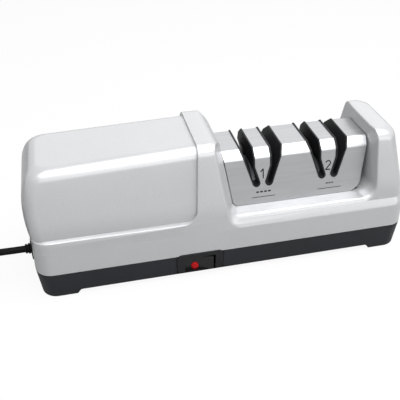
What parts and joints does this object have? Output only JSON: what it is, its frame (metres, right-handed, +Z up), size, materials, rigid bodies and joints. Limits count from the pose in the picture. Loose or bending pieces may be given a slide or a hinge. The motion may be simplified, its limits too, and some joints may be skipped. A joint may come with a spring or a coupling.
{
  "type": "electric knife sharpener",
  "caption": "Two-stage electric knife sharpener with a motor housing, a steel guide cover with slanted slots, sprung grinding discs, a rocker switch and a coiled mains cord.",
  "frame": {"origin": "bottom centre of the body, on the surface the rubber feet stand on", "axes": "+X along the body towards the guide end, -Y the front with the switch, +Z up"},
  "size_m": [0.4255, 0.0956, 0.092],
  "materials": {
    "pearl_plastic": "pearl silver-white injection moulded, semi-gloss",
    "dark_plastic": "dark blue-grey moulded, satin",
    "brushed_steel": "stainless sheet, brushed along its length",
    "black_plastic": "black moulded, satin",
    "black_gloss": "black moulded, half gloss",
    "rubber": "soft rubber",
    "zinc": "zinc plated steel",
    "steel": "ground steel",
    "brass": "turned brass and sintered bronze",
    "red_lens": "red translucent lens",
    "ferrite": "ferrite and carbon",
    "laminations": "stacked electrical steel",
    "copper": "enamelled copper",
    "white_plastic": "natural nylon",
    "aluminium": "die cast aluminium",
    "diamond": "steel disc with a fine abrasive coat",
    "lead_brown": "insulated lead",
    "cord_rubber": "black flexible cord sheath"
  },
  "bodies": {
    "body": {"housing": "pearl_plastic", "base_tray": "dark_plastic", "guide_cover": "brushed_steel", "knife_guide_1": "black_plastic", "knife_guide_2": "black_plastic", "rubber_feet": "rubber", "base_screws": "zinc", "cleanout_cover": "dark_plastic", "cleanout_screws": "zinc", "switch_bezel": "black_plastic", "switch_body": "black_plastic", "switch_terminals": "brass", "motor_can": "zinc", "motor_end_cap": "black_plastic", "motor_magnets": "ferrite", "motor_bearings": "brass", "motor_brushes": "ferrite", "motor_cradle": "dark_plastic", "motor_strap": "zinc", "strap_screws": "zinc", "shaft_bushings": "brass", "bearing_bracket_left": "aluminium", "bearing_bracket_right": "aluminium", "bracket_screws": "zinc", "terminal_block": "white_plastic", "inner_leads": "lead_brown", "strain_relief": "cord_rubber", "power_cord": "cord_rubber", "cord_coil": "cord_rubber", "cord_tail": "cord_rubber", "mains_plug": "cord_rubber", "plug_pins": "brass"},
    "rotor": {"armature": "laminations", "armature_windings": "copper", "commutator": "copper", "motor_shaft": "steel", "cooling_fan": "white_plastic", "shaft_coupling": "aluminium", "coupling_screws": "zinc", "grinding_shaft": "steel", "drive_pins": "steel", "disc_spring_1": "steel", "disc_spring_2": "steel"},
    "grinder_1_left": {"disc_1_left": "diamond", "hub_1_left": "white_plastic"},
    "grinder_1_right": {"disc_1_right": "diamond", "hub_1_right": "white_plastic"},
    "grinder_2_left": {"disc_2_left": "diamond", "hub_2_left": "white_plastic"},
    "grinder_2_right": {"disc_2_right": "diamond", "hub_2_right": "white_plastic"},
    "switch_rocker": {"rocker": "black_gloss", "rocker_lens": "red_lens"}
  },
  "joints": [
    {"name": "rotor_spin", "type": "hinge", "parent": "body", "child": "rotor", "pos_m": [0, 0, 0.044], "axis": [1, 0, 0], "continuous": true},
    {"name": "grinder_1_left_slide", "type": "slide", "parent": "rotor", "child": "grinder_1_left", "axis": [1, 0, 0], "range_m": [0, 0.0012], "stiffness_N_per_m": 300, "springref_m": -0.004, "deforming": ["disc_spring_1"]},
    {"name": "grinder_1_right_slide", "type": "slide", "parent": "rotor", "child": "grinder_1_right", "axis": [-1, 0, 0], "range_m": [0, 0.0012], "stiffness_N_per_m": 300, "springref_m": -0.004, "deforming": ["disc_spring_1"]},
    {"name": "grinder_2_left_slide", "type": "slide", "parent": "rotor", "child": "grinder_2_left", "axis": [1, 0, 0], "range_m": [0, 0.0012], "stiffness_N_per_m": 300, "springref_m": -0.004, "deforming": ["disc_spring_2"]},
    {"name": "grinder_2_right_slide", "type": "slide", "parent": "rotor", "child": "grinder_2_right", "axis": [-1, 0, 0], "range_m": [0, 0.0012], "stiffness_N_per_m": 300, "springref_m": -0.004, "deforming": ["disc_spring_2"]},
    {"name": "rocker_tilt", "type": "hinge", "parent": "body", "child": "switch_rocker", "pos_m": [-0.0206, -0.0342, 0.0125], "axis": [0, 0, 1], "range_deg": [0, 20]}
  ]
}
